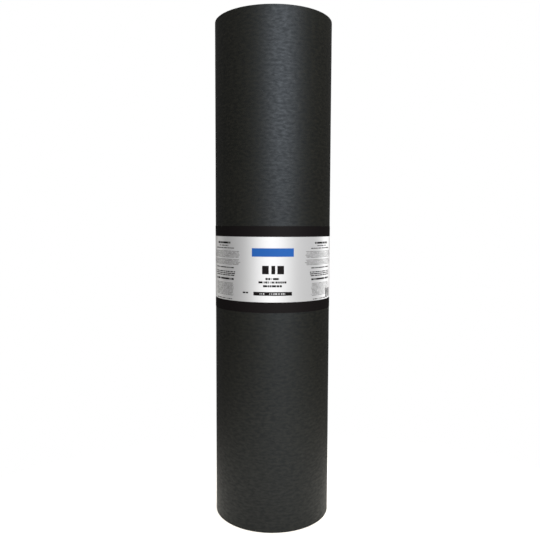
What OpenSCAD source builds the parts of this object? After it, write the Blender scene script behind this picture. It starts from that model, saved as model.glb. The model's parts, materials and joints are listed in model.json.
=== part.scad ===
// Roll of roofing felt, held shut by a printed paper band.
// The roll stands on its end. The origin is at the middle of the end that it stands on,
// and +Z runs up the bore. The band's glued lap is at the back, towards +Y.

/* [Felt] */
// Width of the felt sheet, which is the height of the standing roll
sheet_width = 914.4; // [600:0.1:1100]
// Length of felt on the roll, in metres
sheet_length = 43.9; // [15:0.1:60]
// What each turn of felt adds to the radius, with the air that it traps
turn_pitch = 0.78; // [0.5:0.01:1.2]
// Diameter of the bore that the winding mandrel leaves
bore_d = 50; // [30:1:90]

/* [Rings on the ends] */
// Turns of felt from one ring to the next
ring_turns = 12; // [6:1:30]
// Width of a ring where it meets the end face
ring_w = 0.6; // [0.2:0.05:1]
// Depth of a ring
ring_depth = 0.6; // [0.2:0.05:1.5]

/* [Paper band] */
// Height of the band
band_h = 150; // [60:1:300]
// How far the band's middle is above the roll's middle
band_rise = 13; // [-100:1:100]
// Thickness of the paper
paper_t = 0.2; // [0.1:0.05:0.5]
// Slack between the felt and the paper
band_slack = 0.1; // [0.05:0.05:0.5]
// Length of the band's glued lap, measured round the roll
band_lap = 30; // [15:1:60]

/* [Hidden] */
$fn = 180;

bore_r = bore_d / 2;
// The end face's area is the sheet's length times the pitch of its turns.
roll_r = sqrt(bore_r * bore_r + sheet_length * 1000 * turn_pitch / PI);

ring_step = ring_turns * turn_pitch;
ring_count = ceil((roll_r - bore_r) / ring_step) - 1;

band_r = roll_r + band_slack;
band_bottom = sheet_width / 2 + band_rise - band_h / 2;

// The winding: one turned solid with its bore.
module felt_roll() {
    color([0.13, 0.13, 0.12])
        difference() {
            rotate_extrude()
                translate([bore_r, 0])
                    square([roll_r - bore_r, sheet_width]);
            end_rings();
            translate([0, 0, sheet_width])
                mirror([0, 0, 1])
                    end_rings();
        }
}

// Shallow rings in the lower end, where one turn of felt parts from the next.
module end_rings() {
    for (i = [1 : ring_count])
        ring(bore_r + i * ring_step);
}

// One ring of V section, which opens downwards through the end face.
module ring(r) {
    rotate_extrude()
        polygon([
            [r - ring_w, -ring_depth],
            [r + ring_w, -ring_depth],
            [r, ring_depth]
        ]);
}

// The paper band: a sleeve, with a second layer where its end is glued down over its start.
module label_band() {
    color([0.88, 0.88, 0.87])
        translate([0, 0, band_bottom])
            difference() {
                union() {
                    cylinder(r = band_r + paper_t, h = band_h);
                    lap();
                }
                translate([0, 0, -1])
                    cylinder(r = band_r, h = band_h + 2);
            }
}

// The band's lapped end, cut from a cylinder one layer wider than the sleeve.
module lap() {
    intersection() {
        cylinder(r = band_r + 2 * paper_t, h = band_h);
        translate([-band_lap / 2, 0, 0])
            cube([band_lap, 2 * band_r, band_h]);
    }
}

felt_roll();
label_band();
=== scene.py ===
import json
import math

import bmesh
import bpy
from mathutils import Matrix, Vector, noise


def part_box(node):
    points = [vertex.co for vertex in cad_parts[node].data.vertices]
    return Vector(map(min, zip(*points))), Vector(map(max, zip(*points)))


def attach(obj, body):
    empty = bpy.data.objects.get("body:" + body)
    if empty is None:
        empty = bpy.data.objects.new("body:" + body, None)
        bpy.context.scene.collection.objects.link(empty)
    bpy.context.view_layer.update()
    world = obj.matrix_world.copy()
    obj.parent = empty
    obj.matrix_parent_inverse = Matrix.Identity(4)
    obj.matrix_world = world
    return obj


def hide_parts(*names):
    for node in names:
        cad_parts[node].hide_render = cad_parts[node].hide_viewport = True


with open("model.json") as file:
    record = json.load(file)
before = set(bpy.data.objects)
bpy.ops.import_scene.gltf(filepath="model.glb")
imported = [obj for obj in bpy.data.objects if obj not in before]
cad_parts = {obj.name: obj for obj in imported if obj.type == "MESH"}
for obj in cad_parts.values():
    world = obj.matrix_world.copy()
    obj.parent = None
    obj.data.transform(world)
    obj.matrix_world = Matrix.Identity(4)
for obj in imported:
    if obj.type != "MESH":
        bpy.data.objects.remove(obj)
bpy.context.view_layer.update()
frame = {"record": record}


# The felt: one sheet of rag felt, 36 inches wide and soaked in asphalt, wound on a mandrel that was
# then pulled out. The sheet's two cut edges make the ends of the roll. Its outer end runs down the
# back, where only the paper band holds it.
mm = 0.001
turn = 2 * math.pi
roll_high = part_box("felt_roll")[1]
roll_r, roll_h = roll_high.x, roll_high.z
bore_r = next(m["dims"]["r_mm"] for m in frame["record"]["mounts"] if m["name"] == "bore") * mm

turns = 105
sheet_share = 0.8  # of the pitch; the rest is air
pitch = (roll_r - bore_r) / (turns - 0.5 + sheet_share)  # the outer face lies at roll_r on average
wall_r = roll_r + pitch / 2  # at the sheet's outer end
sheet_t = sheet_share * pitch
gap_depth = 0.55 * mm
wander_room = 1.0 * mm  # by which the sheet is narrower than the roll is high
sheet_w = roll_h - wander_room
seam_at = math.radians(118)  # the sheet's outer end, left of the middle of the back
steps = 120
wall_rows = 88
bore_rows = 12
flap_angle = math.radians(9)
flap_lift = 1.2 * mm
lobe_out = 0.3 * mm
hoop_out = 0.07 * mm
weld = 0.01 * mm
band_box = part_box("label_band")
band_middle, band_half = (band_box[0].z + band_box[1].z) / 2, (band_box[1].z - band_box[0].z) / 2


def unevenness(angle, z):
    """How far the roll stands out there from a true circle, by winding tension and its own weight."""
    around = Vector((math.cos(angle), math.sin(angle), 0))
    lobes = noise.noise(around * 1.1 + Vector((3.1, 1.7, z * 1.6)))
    hoops = noise.noise(around * 0.5 + Vector((0.4, 5.2, z * 24)))
    return lobe_out * lobes + hoop_out * hoops


def wander(turn_count):
    """How far the sheet has strayed along the bore by that turn."""
    slow = noise.noise(Vector((turn_count * 0.06, 2.5, 0)))
    once_a_turn = noise.noise(Vector((turn_count * 0.8, 7.1, 0)))
    quick = noise.noise(Vector((turn_count * 5.3, 4.4, 0)))
    shift = wander_room * (0.5 + 0.55 * slow + 0.22 * once_a_turn + 0.10 * quick)
    return min(max(shift, 0), wander_room)


def slackness(turn_count):
    """How far a turn has shifted outwards in the gap beside it."""
    loose = noise.noise(Vector((turn_count * 1.9, 0, 6.3)))
    return 0.5 * (pitch - sheet_t) * max(-0.9, min(0.9, 2.2 * loose))


def ring_paleness(turn_count):
    """How pale that turn's edge is, about 0.5, so that the ends show rings."""
    broad = noise.noise(Vector((turn_count * 0.31, 3.3, 1.1)))
    narrow = noise.noise(Vector((turn_count * 1.7, 8.2, 0)))
    return 0.5 + 0.7 * broad + 0.45 * narrow


def spring(turn_count, z):
    """How far the sheet's outer end has sprung off the roll there. The paper band holds it down."""
    past_band = max(0, abs(z - band_middle) / band_half - 1)
    near_end = max(0, turn_count - (turns - flap_angle / turn)) * turn / flap_angle
    return flap_lift * near_end ** 2 * min(1, past_band / 2) ** 1.5


winding = bmesh.new()
gap = winding.verts.layers.float.new("gap")
inset = winding.verts.layers.float.new("inset")
turn_profile = [(0, 0), (sheet_t, 0), ((sheet_t + pitch) / 2, gap_depth), (pitch, 0)]
corners = [winding.verts.new((bore_r + out, 0, up)) for out, up in turn_profile]
for near, far in zip(corners, corners[1:]):
    winding.edges.new((near, far))
corners[1][inset] = sheet_t
corners[2][inset] = sheet_t
corners[2][gap] = 1
bmesh.ops.spin(winding, geom=winding.verts[:] + winding.edges[:], cent=(0, 0, 0), axis=(0, 0, 1),
               dvec=(pitch, 0, 0), angle=0, steps=turns - 1, use_duplicate=True)
bmesh.ops.remove_doubles(winding, verts=winding.verts, dist=weld)

# The last turn has no gap outside it, so its profile stops at the sheet's outer face.
winding.verts.ensure_lookup_table()
outermost = sorted(winding.verts, key=lambda v: v.co.x)[-2:]
bmesh.ops.delete(winding, geom=outermost, context="VERTS")

bmesh.ops.mirror(winding, geom=winding.verts[:] + winding.edges[:], axis="Z", merge_dist=-1,
                 matrix=Matrix.Translation((0, 0, -sheet_w / 2)))
by_radius = sorted(winding.verts, key=lambda v: v.co.x)
bore_edge = winding.edges.new(by_radius[:2])
wall_edge = winding.edges.new(by_radius[-2:])
bmesh.ops.subdivide_edges(winding, edges=[bore_edge], cuts=bore_rows - 1)
bmesh.ops.subdivide_edges(winding, edges=[wall_edge], cuts=wall_rows - 1)

# Once round with the section, moving out by one pitch, winds every turn onto the next.
bmesh.ops.spin(winding, geom=winding.verts[:] + winding.edges[:], cent=(0, 0, 0), axis=(0, 0, 1),
               dvec=(pitch / steps, 0, 0), angle=turn, steps=steps)
bmesh.ops.remove_doubles(winding, verts=winding.verts, dist=weld)

# The sheet's two ends show as a step in the bore and a step down the back. The second is undercut,
# because the sheet's end stands off the turn below it, so its faces are the ones kept and cut here.
upright = [edge for edge in winding.edges if edge.is_boundary and edge.calc_length() > 5 * mm]
for near, far in ((0, 2 * bore_r), (2 * bore_r, 2 * roll_r)):
    ladder = [edge for edge in upright if near < edge.verts[0].co.xy.length < far]
    step_faces = bmesh.ops.bridge_loops(winding, edges=ladder)["faces"]
rungs = {edge for face in step_faces for edge in face.edges}
rungs = [edge for edge in rungs if abs(edge.verts[0].co.z - edge.verts[1].co.z) < mm]
cut = bmesh.ops.subdivide_edges(winding, edges=rungs, cuts=2)["geom_inner"]
bmesh.ops.holes_fill(winding, edges=[edge for edge in winding.edges if edge.is_boundary], sides=0)
undercut = {v for v in cut if isinstance(v, bmesh.types.BMVert)}
last_wall_r = wall_r - pitch  # at the sheet's outer end, of the turn below it

at_edge = winding.verts.layers.float.new("at_edge")
shade = winding.verts.layers.float.new("shade")
around = {}  # each corner's angle on from the sheet's outer end, and its radius
for v in winding.verts:
    angle, r = math.atan2(v.co.y, v.co.x) % turn, v.co.xy.length
    if turn - angle < 0.01 / steps:
        angle = 0
    around[v] = (angle, r)
    turn_count = (r - bore_r - v[inset]) / pitch
    z = v.co.z
    v[shade] = ring_paleness(turn_count)
    v[at_edge] = 1 if min(z, sheet_w - z) < 2 * gap_depth else 0
    weight = (r / roll_r) ** 2
    moved_r = r + weight * unevenness(angle, z) + spring(turn_count, z)
    if v in undercut:
        foot = r < last_wall_r + pitch / 2
        if foot:
            angle = -0.8 * flap_angle
            moved_r = last_wall_r + unevenness(angle, z) - 0.1 * pitch
        else:
            moved_r = wall_r - sheet_t + unevenness(0, z) + spring(turns, z)
    elif v[at_edge]:
        moved_r += weight * slackness(turn_count)
    place = Vector((math.cos(angle + seam_at), math.sin(angle + seam_at), 0)) * moved_r
    v.co = place + Vector((0, 0, z + wander(turn_count)))
bmesh.ops.recalc_face_normals(winding, faces=winding.faces)

# The "sheet" map lays the wound face out flat, in metres. The "OFBake" map gives each kind of face
# its own strip, with the ends of the roll unrolled, so that every turn has room in it. The strip for
# the two steps has four columns: a face and a notch for the bore's, and the same for the wall's.
strips = {"wall": (0.005, 0.785), "bore": (0.791, 0.817), "step": (0.820, 0.832),
          "low_end": (0.835, 0.865), "high_end": (0.875, 0.995)}
sheet_map = winding.loops.layers.uv.new("sheet")
bake_map = winding.loops.layers.uv.new("OFBake")
for face in winding.faces:
    spots = [around[v] for v in face.verts]
    far_side = max(angle for angle, r in spots) > turn / 2
    on_edge = all(v[at_edge] for v in face.verts) and abs(face.normal.z) > 0.05
    on_step = max(r for angle, r in spots) - min(r for angle, r in spots) > 0.2 * pitch and not on_edge
    outside = spots[0][1] > 2 * bore_r
    foot_r = last_wall_r if outside else bore_r
    column = 2 * outside + all(v[at_edge] for v in face.verts)
    if on_edge:
        kind = "low_end" if face.normal.z < 0 else "high_end"
    elif on_step:
        kind = "step"
    else:
        kind = "wall" if outside else "bore"
    face.material_index = 1 if kind in ("low_end", "high_end", "step") else 0
    face.smooth = True
    left, right = strips[kind]
    for loop in face.loops:
        angle, r = around[loop.vert]
        if far_side and angle < turn / 4:
            angle += turn
        z = loop.vert.co.z
        loop[sheet_map].uv = (angle * r, z)
        if on_edge:
            across, up = angle / turn, (r - bore_r) / (wall_r - bore_r)
        elif on_step:
            across, up = (column + 0.7 * (r - foot_r) / pitch) / 4, z / roll_h
        else:
            across, up = angle / turn, z / roll_h
        loop[bake_map].uv = (left + (right - left) * across, 0.004 + 0.992 * up)


def add(tree, kind, feeds=None, **settings):
    """A new node of that kind. Each named input is fed by a socket or set to a value."""
    made = tree.nodes.new("ShaderNode" + kind)
    for name, value in settings.items():
        setattr(made, name, value)
    for name, value in (feeds or {}).items():
        if isinstance(value, bpy.types.NodeSocket):
            tree.links.new(value, made.inputs[name])
        else:
            made.inputs[name].default_value = value
    return made


def grain(tree, coordinates, scale, detail=2.0, roughness=0.5, distortion=0.0):
    """Noise of that many lumps to the metre along each axis, from 0 to 1 about 0.5."""
    stretched = add(tree, "Mapping", {"Vector": coordinates, "Scale": scale})
    return add(tree, "TexNoise", {"Vector": stretched.outputs[0], "Scale": 1.0, "Detail": detail,
                                  "Roughness": roughness, "Distortion": distortion}).outputs[0]


def blend(tree, share, first, second):
    """A colour that goes from the first to the second as the share goes from 0 to 1."""
    mix = add(tree, "Mix", data_type="RGBA")
    for socket, value in zip((mix.inputs[0], mix.inputs[6], mix.inputs[7]), (share, first, second)):
        if isinstance(value, bpy.types.NodeSocket):
            tree.links.new(value, socket)
        else:
            socket.default_value = value if isinstance(value, float) else (*value, 1)
    return mix.outputs[2]


def spread(tree, value, low, high, new_low, new_high):
    """The value, with low to high spread to new_low to new_high."""
    return add(tree, "MapRange", {"Value": value, "From Min": low, "From Max": high,
                                  "To Min": new_low, "To Max": new_high}).outputs[0]


def set_down(name, data):
    """A new object at the origin that shows that data."""
    made = bpy.data.objects.new(name, data)
    bpy.context.collection.objects.link(made)
    return made


def finish_named(name):
    """A new material, with its node tree and its shader."""
    made = bpy.data.materials.new(name)
    made.use_nodes = True
    return made, made.node_tree, made.node_tree.nodes["Principled BSDF"]


felt_face, tree, shader = finish_named("felt_face")
flat = add(tree, "UVMap", uv_map="sheet").outputs[0]
streaks = grain(tree, flat, (110, 240, 1), detail=1.7, roughness=0.5, distortion=0.3)
fibres = grain(tree, flat, (420, 1300, 1), detail=3.0, roughness=0.65)
clouds = grain(tree, flat, (9, 14, 1), detail=3.0, roughness=0.55)
soaked = blend(tree, spread(tree, clouds, 0.3, 0.7, 0, 1), (0.0027, 0.0024, 0.0008),
               (0.0045, 0.0041, 0.0020))
streaked = blend(tree, spread(tree, streaks, 0.35, 0.70, 0, 1), soaked, (0.0100, 0.0093, 0.0064))
tree.links.new(streaked, shader.inputs["Base Color"])
gloss = spread(tree, streaks, 0.3, 0.7, 0.62, 0.50)
tree.links.new(gloss, shader.inputs["Roughness"])
shader.inputs["IOR"].default_value = 1.5
shader.inputs["Specular IOR Level"].default_value = 0.29
shader.inputs["Specular Tint"].default_value = (0.75, 0.85, 1.0, 1)
nap = add(tree, "Bump", {"Height": fibres, "Strength": 0.5, "Distance": 0.06 * mm})
relief = add(tree, "Bump", {"Height": streaks, "Strength": 1.0, "Distance": 0.23 * mm,
                            "Normal": nap.outputs[0]})
tree.links.new(relief.outputs[0], shader.inputs["Normal"])

felt_edge, tree, shader = finish_named("felt_edge")
solid = add(tree, "TexCoord").outputs["Object"]
gap_painted_shade = add(tree, "Attribute", attribute_name="gap").outputs["Fac"]
tufts = grain(tree, solid, (900, 900, 900), detail=3.0, roughness=0.6)
patches = grain(tree, solid, (45, 45, 45), detail=2.0)
ring_shade = add(tree, "Attribute", attribute_name="shade").outputs["Fac"]
ringed = blend(tree, ring_shade, (0.005, 0.005, 0.0045), (0.034, 0.033, 0.030))
torn = blend(tree, spread(tree, tufts, 0.35, 0.8, 0, 1), ringed, (0.045, 0.043, 0.038))
dusty = blend(tree, spread(tree, patches, 0.4, 0.75, 0, 0.35), torn, (0.034, 0.033, 0.030))
# The gaps between turns darken to near black: painted shade in the notches, over the sheet's own darker
# face.
tree.links.new(blend(tree, gap_painted_shade, dusty, (0.002, 0.002, 0.002)), shader.inputs["Base Color"])
shader.inputs["Roughness"].default_value = 0.85
shader.inputs["Specular IOR Level"].default_value = 0.3
fuzz = add(tree, "Bump", {"Height": tufts, "Strength": 0.8, "Distance": 0.2 * mm})
tree.links.new(fuzz.outputs[0], shader.inputs["Normal"])

roll_mesh = bpy.data.meshes.new("felt_winding")
winding.to_mesh(roll_mesh)
winding.free()
roll_mesh.materials.append(felt_face)
roll_mesh.materials.append(felt_edge)
roll_mesh.set_sharp_from_angle(angle=math.radians(35))
felt_winding = set_down("felt_winding", roll_mesh)
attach(felt_winding, "root")
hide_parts("felt_roll")


# The band: a strip of coated paper, printed on its outer face, that goes once round the roll and is
# glued down over its own start at the back. It holds the roll shut. Where the felt ends, the paper
# bridges the step.
paper_t = 0.2 * mm
slack = 0.1 * mm
lap = 30 * mm
lap_rise = 12 * mm  # before the lap, over which the paper climbs onto its own start
glue_t = 0.04 * mm
curl = 0.25 * mm  # by which its edges stand off, where they do
band_r = roll_r + slack
paper_l = turn * band_r + lap
front = -turn / 4
bridged = math.acos(1 - pitch / wall_r)


def paper_r(angle, z):
    """Radius of the paper's inner face, at that angle on from the felt's outer end."""
    below = wall_r - pitch * (1 - angle / turn)
    if angle < bridged:
        below = (wall_r - pitch) / math.cos(bridged - angle)
    return below + slack + unevenness(angle, z)


paper = bmesh.new()
bmesh.ops.create_grid(paper, x_segments=240, y_segments=24, size=0.5)
bmesh.ops.scale(paper, vec=(paper_l, 2 * band_half, 1), verts=paper.verts)
print_map = paper.loops.layers.uv.new("print")
bake_map = paper.loops.layers.uv.new("OFBake")
for face in paper.faces:
    for loop in face.loops:
        loop[print_map].uv = loop.vert.co.xy
for v in paper.verts:
    along, up = v.co.xy
    angle = (front + along / band_r - seam_at) % turn
    z = band_middle + up
    over = min(1, max(0, (along - paper_l / 2 + lap + lap_rise) / lap_rise))
    ruffle = 0.5 + noise.noise(Vector((along * 14, up * 3, 9)))
    flare = max(0, curl * (abs(up) / band_half) ** 6 * ruffle)
    r = paper_r(angle, z) + paper_t + over * (paper_t + glue_t) + flare
    v.co = (r * math.cos(angle + seam_at), r * math.sin(angle + seam_at), z)
outer_side = set(paper.verts)
paper.normal_update()
bmesh.ops.solidify(paper, geom=paper.faces[:], thickness=paper_t)

# The "print" map lays the strip out flat, in metres from the middle of its front. The "OFBake" map has
# the front and back halves of the printed face in two rows, then the inner face, then the cut edges.
for face in paper.faces:
    face.smooth = True
    spots = [loop[print_map].uv.copy() for loop in face.loops]
    ends = [spot.x for spot in spots]
    middle = sum(ends) / 4
    outside = [loop.vert in outer_side for loop in face.loops]
    face.material_index = 0 if all(outside) else 1
    for loop, spot, is_outside in zip(face.loops, spots, outside):
        along, up = spot.x / paper_l, spot.y / (2 * band_half) + 0.5
        if all(outside):
            behind = abs(middle) > paper_l / 4
            across = 2 * (along + (0 if not behind else -0.5 if middle > 0 else 0.5)) + 0.5
            row = 0.43 if behind else 0.0
            loop[bake_map].uv = (0.005 + 0.99 * across, row + 0.005 + 0.415 * up)
        elif not any(outside):
            loop[bake_map].uv = (0.005 + 0.99 * (along + 0.5), 0.865 + 0.055 * up)
        elif max(ends) - min(ends) > 0.1 * mm:
            row = 0.93 if up < 0.5 else 0.95
            loop[bake_map].uv = (0.005 + 0.99 * (along + 0.5), row + 0.012 * is_outside)
        else:
            row = 0.97 if middle < 0 else 0.985
            loop[bake_map].uv = (0.005 + 0.99 * up, row + 0.012 * is_outside)

paper_mesh = bpy.data.meshes.new("paper_band")
paper.to_mesh(paper_mesh)
paper.free()
paper_mesh.set_sharp_from_angle(angle=math.radians(35))
paper_band = set_down("paper_band", paper_mesh)


def within(tree, value, middle, half):
    """1 where the value is within half of the middle, otherwise 0."""
    return add(tree, "Math", {0: value, 1: middle, 2: half}, operation="COMPARE").outputs[0]


def figure(tree, operation, first, second=0.0):
    """The result of that sum on one or two values."""
    return add(tree, "Math", {0: first, 1: second}, operation=operation).outputs[0]


def bar(tree, along, up, middle, size):
    """A printed rectangle, 1 inside it and 0 outside. Middle and size are (along, up) in millimetres."""
    wide = within(tree, along, middle[0] * mm, size[0] * mm / 2)
    high = within(tree, up, middle[1] * mm, size[1] * mm / 2)
    return figure(tree, "MULTIPLY", wide, high)


def lines(tree, along, up, middle, size, rows, weight=0.5, letter_mm=0.9, spaces=0.15):
    """Rows of dashes that fill a rectangle, as print does when it is too small to read."""
    pitch = size[1] / rows * mm
    risen = figure(tree, "DIVIDE", figure(tree, "SUBTRACT", up, (middle[1] - size[1] / 2) * mm), pitch)
    row = figure(tree, "FLOOR", figure(tree, "ADD", risen, 40 * middle[1]))
    letter = figure(tree, "FLOOR", figure(tree, "DIVIDE", along, letter_mm * mm))
    spot = add(tree, "CombineXYZ", {"X": letter, "Y": row}).outputs[0]
    dice = add(tree, "TexWhiteNoise", {"Vector": spot}).outputs["Value"]
    inked = figure(tree, "GREATER_THAN", dice, spaces)
    stripe = figure(tree, "LESS_THAN", figure(tree, "FRACT", risen), weight)
    ragged = add(tree, "TexWhiteNoise", {"W": row}, noise_dimensions="1D").outputs["Value"]
    reach = spread(tree, ragged, 0, 1, 0.44 * size[0] * mm, 0.5 * size[0] * mm)
    wide = within(tree, along, middle[0] * mm, reach)
    high = within(tree, up, middle[1] * mm, size[1] * mm / 2)
    dashes = figure(tree, "MULTIPLY", inked, stripe)
    return figure(tree, "MULTIPLY", dashes, figure(tree, "MULTIPLY", wide, high))


coated_paper, tree, shader = finish_named("coated_paper")
flat = add(tree, "UVMap", uv_map="print").outputs[0]
printed_at = add(tree, "SeparateXYZ", {"Vector": flat})
along, up = printed_at.outputs["X"], printed_at.outputs["Y"]

# The ground is printed from silver-grey to pale grey and back, five times round the roll, and to white
# where the small print is. It is partly painted light: its bright bands, the brightest a little left of
# the front, are partly a painted highlight, and its whiter sides partly a painted reflection at the
# edges of the roll as seen from the front.
waves = 5
# Painted highlight, in part: the bright bands of this wave, the brightest moved a little left of the
# front.
off_brightest = figure(tree, "ADD", along, 4.5 * mm)
wave = figure(tree, "COSINE", figure(tree, "MULTIPLY", off_brightest, waves / band_r))
wave_with_painted_highlight = figure(tree, "POWER", spread(tree, wave, -1, 1, 0, 1), 1.4)
# Painted reflection, in part: the ground turns whiter towards the sides of the front.
off_front = spread(tree, figure(tree, "ABSOLUTE", along), 70 * mm, 110 * mm, 0, 1)
palest_with_painted_reflection = blend(tree, off_front, (0.54, 0.54, 0.55), (0.86, 0.86, 0.87))
silver = blend(tree, wave_with_painted_highlight, (0.315, 0.315, 0.32), palest_with_painted_reflection)

# Sizes of the print below are in millimetres. The two edges of the band are black.
margin_w = 18.5
black = [figure(tree, "GREATER_THAN", figure(tree, "ABSOLUTE", up), band_half - margin_w * mm)]
for block_at, block_w in ((-12.2, 11.6), (1.4, 6.6), (14.2, 11.6)):
    black.append(bar(tree, along, up, (block_at, -0.4), (block_w, 14.6)))
for row_at, row_w in ((-15.4, 27), (-21.4, 50), (-27.9, 33)):
    black.append(lines(tree, along, up, (0, row_at), (row_w, 4.4), 1, 0.8))
black.append(lines(tree, along, up, (-49, -40.0), (12, 3.4), 1, 0.75))
footer = bar(tree, along, up, (0.5, -41.7), (68, 6.4))
knocked_out = lines(tree, along, up, (0, -41.4), (48, 2.8), 1, 0.75, 1.0, 0.4)
black.append(figure(tree, "SUBTRACT", footer, knocked_out))

# Columns of small print stand either side of the front, and again either side of the back. One set of
# rows draws all four, on a measure that is folded at the sides.
fold_at, column_at = 163, 60
off_side = figure(tree, "SUBTRACT", figure(tree, "ABSOLUTE", along), fold_at * mm)
column = figure(tree, "SUBTRACT", figure(tree, "ABSOLUTE", off_side), column_at * mm)
for row_at, block_w, block_h, rows, weight in (
        (46.0, 46, 4.0, 1, 0.85), (41.2, 32, 2.6, 1, 0.6), (36.8, 60, 2.6, 1, 0.6),
        (26.2, 88, 12.4, 6, 0.32), (12.5, 88, 10.4, 5, 0.32), (2.4, 64, 3.0, 1, 0.6),
        (-8.0, 68, 9.6, 3, 0.55), (-17.8, 62, 4.2, 1, 0.75), (-35.6, 60, 23.4, 11, 0.32),
        (-53.2, 50, 2.6, 1, 0.6)):
    black.append(lines(tree, column, up, (0, row_at), (block_w, block_h), rows, weight))

# A block of upright strokes stands at the right of the front's right-hand column.
stroke_w = 0.8
stroke_block = bar(tree, along, up, (129, -45.5), (22, 16))
stroke = figure(tree, "FLOOR", figure(tree, "DIVIDE", along, stroke_w * mm))
dice = add(tree, "TexWhiteNoise", {"W": stroke}, noise_dimensions="1D").outputs["Value"]
black.append(figure(tree, "MULTIPLY", stroke_block, figure(tree, "GREATER_THAN", dice, 0.45)))
ink = black[0]
for more in black[1:]:
    ink = figure(tree, "MAXIMUM", ink, more)
blue = bar(tree, along, up, (0.5, 29.7), (74, 14.6))
with_blue = blend(tree, blue, silver, (0.012, 0.070, 0.26))
tree.links.new(blend(tree, ink, with_blue, (0.0046, 0.0036, 0.0039)), shader.inputs["Base Color"])
shader.inputs["Specular IOR Level"].default_value = 0.07
tooth = grain(tree, flat, (700, 700, 1), detail=3.0, roughness=0.6)
cockles = grain(tree, flat, (25, 60, 1), detail=1.0)
tree.links.new(spread(tree, tooth, 0.3, 0.7, 0.66, 0.54), shader.inputs["Roughness"])
coating = add(tree, "Bump", {"Height": tooth, "Strength": 0.4, "Distance": 0.02 * mm})
ripple = add(tree, "Bump", {"Height": cockles, "Strength": 1.0, "Distance": 0.08 * mm,
                            "Normal": coating.outputs[0]})
tree.links.new(ripple.outputs[0], shader.inputs["Normal"])

bare_paper, tree, shader = finish_named("bare_paper")
solid = add(tree, "TexCoord").outputs["Object"]
pulp = grain(tree, solid, (1500, 1500, 1500), detail=3.0, roughness=0.6)
formation = grain(tree, solid, (160, 160, 160), detail=2.0)
pressed = blend(tree, spread(tree, formation, 0.3, 0.7, 0, 1), (0.56, 0.54, 0.49), (0.64, 0.62, 0.57))
tree.links.new(blend(tree, spread(tree, pulp, 0.45, 0.8, 0, 0.6), pressed, (0.44, 0.41, 0.36)),
               shader.inputs["Base Color"])
shader.inputs["Roughness"].default_value = 0.85
weave = add(tree, "Bump", {"Height": pulp, "Strength": 0.5, "Distance": 0.04 * mm})
tree.links.new(weave.outputs[0], shader.inputs["Normal"])
paper_mesh.materials.append(coated_paper)
paper_mesh.materials.append(bare_paper)
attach(paper_band, "root")
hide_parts("label_band")


# The studio: a white floor under the roll that fades into the white round it and glows, a warm painted
# light strongest in front of the roll that lights its lower half; a large cool softbox in front and a
# little to the right, one overhead, one high at the back, and a dim light from all round.
floor_mesh = bpy.data.meshes.new("floor")
disc = bmesh.new()
bmesh.ops.create_circle(disc, cap_ends=True, segments=128, radius=3.0)
disc.to_mesh(floor_mesh)
disc.free()
floor = set_down("floor", floor_mesh)
pale_glowing_floor, tree, shader = finish_named("pale_glowing_floor")
shader.inputs["Base Color"].default_value = (0.92, 0.88, 0.80, 1)
shader.inputs["Roughness"].default_value = 0.9
spot = add(tree, "TexCoord").outputs["Object"]
away = add(tree, "VectorMath", {0: spot, 1: (0.05, -0.45, 0)}, operation="DISTANCE").outputs["Value"]
tree.links.new(spread(tree, away, 0.4, 0.85, 0.85, 0), shader.inputs["Alpha"])
# The floor's glow is painted light: warm, and strongest in front of the roll, where the floor is most
# opaque.
shader.inputs["Emission Color"].default_value = (1, 0.95, 0.84, 1)
shader.inputs["Emission Strength"].default_value = 0.34
floor_mesh.materials.append(pale_glowing_floor)

world = bpy.data.worlds.new("studio")
world.use_nodes = True
bpy.context.scene.world = world
tree = world.node_tree
dim = tree.nodes["Background"]
dim.inputs["Color"].default_value = (1.0, 0.975, 0.93, 1)
dim.inputs["Strength"].default_value = 0.17
white = add(tree, "Background", {"Color": (1, 1, 1, 1), "Strength": 1.0})
seen = add(tree, "LightPath").outputs["Is Camera Ray"]
both = add(tree, "MixShader", {0: seen, 1: dim.outputs[0], 2: white.outputs[0]})
tree.links.new(both.outputs[0], tree.nodes["World Output"].inputs["Surface"])


def softbox(name, azimuth, elevation, distance, size, power, colour, aim):
    """A rectangular light. Azimuth 0 is in front of the roll, and 90 to its right."""
    lamp = bpy.data.lights.new(name, "AREA")
    lamp.shape = "RECTANGLE"
    lamp.size, lamp.size_y = size
    lamp.energy = power
    lamp.color = colour
    holder = set_down(name, lamp)
    a, e = math.radians(azimuth), math.radians(elevation)
    away = Vector((math.sin(a) * math.cos(e), -math.cos(a) * math.cos(e), math.sin(e)))
    holder.location = Vector(aim) + away * distance
    holder.rotation_euler = away.to_track_quat("Z", "Y").to_euler()
    return holder


softbox("key", 15.5, 18.5, 2.0, (1.35, 0.9), 63, (0.98, 0.99, 1.0), (0, 0, 0.6))
softbox("overhead", 0, 90, 2.2, (1.6, 1.6), 24, (1.0, 1.0, 1.0), (0, 0, 0))
softbox("back", 180, 58, 2.2, (1.6, 1.2), 45, (1.0, 1.0, 1.0), (0, 0, 0.45))

# The camera stands a little over a metre in front of the roll, a bit above its middle, and looks
# slightly down.
camera_data = bpy.data.cameras.new("camera")
camera = set_down("camera", camera_data)
camera_data.sensor_width = 36
camera_data.lens = 39.5
camera.location = (0, -1.1228, 0.5483)
camera.rotation_euler = (math.radians(90 - 4.41), 0, math.radians(0.24))
camera.rotation_euler.rotate_axis("Z", math.radians(0.18))
bpy.context.scene.camera = camera
bpy.context.scene.view_settings.view_transform = "Standard"
